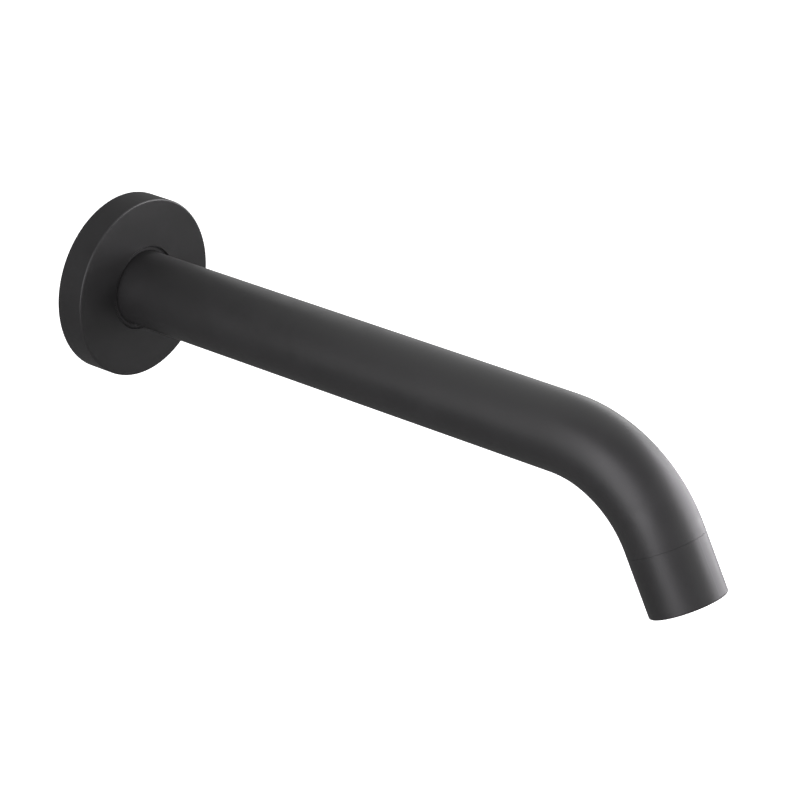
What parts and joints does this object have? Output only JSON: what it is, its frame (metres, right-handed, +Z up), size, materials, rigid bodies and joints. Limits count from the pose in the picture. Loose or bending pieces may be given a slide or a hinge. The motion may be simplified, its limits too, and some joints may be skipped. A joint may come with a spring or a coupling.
{
  "type": "wall spout",
  "caption": "Wall spout for a bath or basin: a level round tube bent down to a recessed aerator, with a sliding round cover plate and a slip-on threaded wall nipple.",
  "frame": {"origin": "where the tube's axis meets the wall, in the plane of the cover plate's back", "axes": "+Z up, the spout leaves the wall along -Y and bends down, +X to the right for a person facing the wall, +Y into the wall"},
  "size_m": [0.06, 0.254, 0.0776],
  "materials": {
    "matte_black_coating": "matte black coating on brass",
    "bare_brass": "turned, uncoated",
    "black_rubber": "matte",
    "stainless_steel": "plain",
    "white_plastic": "moulded",
    "grey_plastic": "moulded"
  },
  "bodies": {
    "spout": {"spout_tube": "matte_black_coating", "outlet_collar": "matte_black_coating", "inlet_bush": "bare_brass", "wall_nipple": "bare_brass", "nipple_o_ring_rear": "black_rubber", "nipple_o_ring_front": "black_rubber", "grub_screw": "stainless_steel", "aerator_seal": "black_rubber", "aerator_housing": "white_plastic", "aerator_strainer": "grey_plastic", "flow_regulator_body": "white_plastic", "flow_regulator_ring": "black_rubber", "aerator_jet_plate": "grey_plastic"},
    "plate": {"cover_plate": "matte_black_coating", "cover_plate_o_ring": "black_rubber"}
  },
  "joints": [
    {"name": "cover_plate_slide", "type": "slide", "parent": "spout", "child": "plate", "axis": [0, -1, 0], "range_m": [0, 0.168]}
  ]
}
